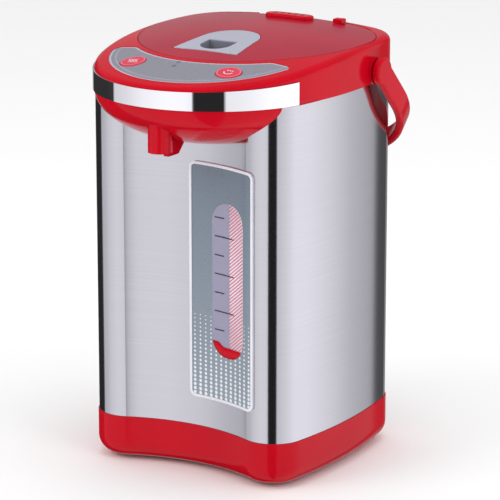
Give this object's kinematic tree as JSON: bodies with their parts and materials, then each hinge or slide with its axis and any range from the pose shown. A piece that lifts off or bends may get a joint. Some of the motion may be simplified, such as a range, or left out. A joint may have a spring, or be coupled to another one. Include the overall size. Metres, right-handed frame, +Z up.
{
  "type": "electric thermo pot",
  "caption": "Keep-warm water boiler with a steel body, round hood and spout, panel buttons, latched lid, swing handle and level gauge",
  "frame": {"origin": "on the upright centre axis of the body, at the level the feet stand on", "axes": "+Z up, -Y the front with the spout and controls, +X to the right seen from the front"},
  "size_m": [0.231, 0.2844, 0.3702],
  "materials": {
    "red_gloss": "high gloss red moulding",
    "red_lid": "satin red moulding",
    "steel_brushed": "fine vertical brushing",
    "steel_plain": "plain drawn steel",
    "chrome": "bright chrome",
    "panel_grey": "fine satin grey",
    "lever_grey": "satin silver grey",
    "button_red": "satin coral red",
    "gauge_rim": "gloss white rim",
    "gauge_face": "printed slate grey",
    "clear": "clear, faintly violet",
    "clear_tube": "clear tube",
    "led_lens": "milky lens",
    "rubber_black": "matte black",
    "silicone": "milky silicone",
    "black_plastic": "black",
    "white_plastic": "off-white",
    "board_green": "solder mask green",
    "zinc": "zinc plated",
    "brass": "plain brass",
    "magnet": "dark ferrite"
  },
  "bodies": {
    "pot": {"base_skirt": "red_gloss", "base_plate": "black_plastic", "rubber_feet": "rubber_black", "base_screws": "zinc", "body_shell": "steel_brushed", "gauge_bezel": "gauge_rim", "gauge_panel": "gauge_face", "gauge_window": "clear", "inner_pot": "steel_plain", "pot_seal": "silicone", "pot_bracket": "zinc", "boil_heater": "steel_plain", "keep_warm_heater": "zinc", "thermostat": "zinc", "thermal_fuse": "white_plastic", "motor_can": "zinc", "pump_housing": "white_plastic", "suction_hose": "silicone", "riser_hose": "silicone", "level_tube": "clear_tube", "tube_sockets": "silicone", "outlet_hose": "silicone", "collar": "red_gloss", "chin": "red_gloss", "spout_nozzle": "red_gloss", "chrome_band": "chrome", "fascia": "panel_grey", "led_lenses": "led_lens", "control_pcb": "board_green", "board_screws": "zinc", "micro_switches": "black_plastic", "hinge_pin": "steel_plain", "handle_pivots": "steel_plain", "power_pcb": "board_green", "inlet_socket": "black_plastic", "inlet_pins": "brass"},
    "lid": {"lid_top": "red_lid", "lid_inner_cover": "steel_plain", "lid_gasket": "silicone", "lid_screws": "zinc", "vent_cap": "red_gloss", "vent_valve": "white_plastic", "latch_pin": "steel_plain"},
    "release": {"release_tab": "red_gloss"},
    "latch": {"latch_lever": "lever_grey"},
    "bolt": {"latch_bolt": "white_plastic"},
    "handle": {"handle_bail": "red_gloss", "handle_caps": "red_gloss"},
    "dispense": {"dispense_button": "button_red"},
    "reboil": {"reboil_button": "button_red"},
    "gauge_float": {"level_float": "red_gloss"},
    "rotor": {"motor_shaft": "steel_plain", "drive_magnet": "magnet"},
    "pump_wheel": {"impeller": "white_plastic"}
  },
  "joints": [
    {"name": "lid_hinge", "type": "hinge", "parent": "pot", "child": "lid", "pos_m": [0, 0.0904, 0.3594], "axis": [-1, 0, 0], "range_deg": [0, 80]},
    {"name": "release_slide", "type": "slide", "parent": "lid", "child": "release", "axis": [1, 0, 0], "range_m": [0, 0.0035], "stiffness_N_per_m": 200},
    {"name": "latch_hinge", "type": "hinge", "parent": "lid", "child": "latch", "pos_m": [0, -0.0585, 0.357], "axis": [1, 0, 0], "range_deg": [0, 22], "stiffness_Nm_per_rad": 0.05},
    {"name": "bolt_slide", "type": "slide", "parent": "lid", "child": "bolt", "axis": [0, 1, 0], "range_m": [0, 0.0031]},
    {"name": "handle_hinge", "type": "hinge", "parent": "pot", "child": "handle", "pos_m": [0, 0.04, 0.336], "axis": [1, 0, 0], "range_deg": [0, 150]},
    {"name": "dispense_press", "type": "slide", "parent": "pot", "child": "dispense", "axis": [0, 0, -1], "range_m": [0, 0.0015], "stiffness_N_per_m": 600},
    {"name": "reboil_press", "type": "slide", "parent": "pot", "child": "reboil", "axis": [0, 0, -1], "range_m": [0, 0.0015], "stiffness_N_per_m": 600},
    {"name": "float_rise", "type": "slide", "parent": "pot", "child": "gauge_float", "axis": [0, 0, 1], "range_m": [0, 0.118]},
    {"name": "rotor_spin", "type": "hinge", "parent": "pot", "child": "rotor", "pos_m": [0.029, -0.0287, 0.045], "axis": [0, 0, 1], "continuous": true},
    {"name": "impeller_spin", "type": "hinge", "parent": "pot", "child": "pump_wheel", "pos_m": [0.029, -0.0287, 0.045], "axis": [0, 0, 1], "continuous": true}
  ],
  "couplings": [
    {"joint": "impeller_spin", "follows": "rotor_spin", "ratio": 1},
    {"joint": "bolt_slide", "follows": "latch_hinge", "m_per_rad": 0.008073}
  ]
}
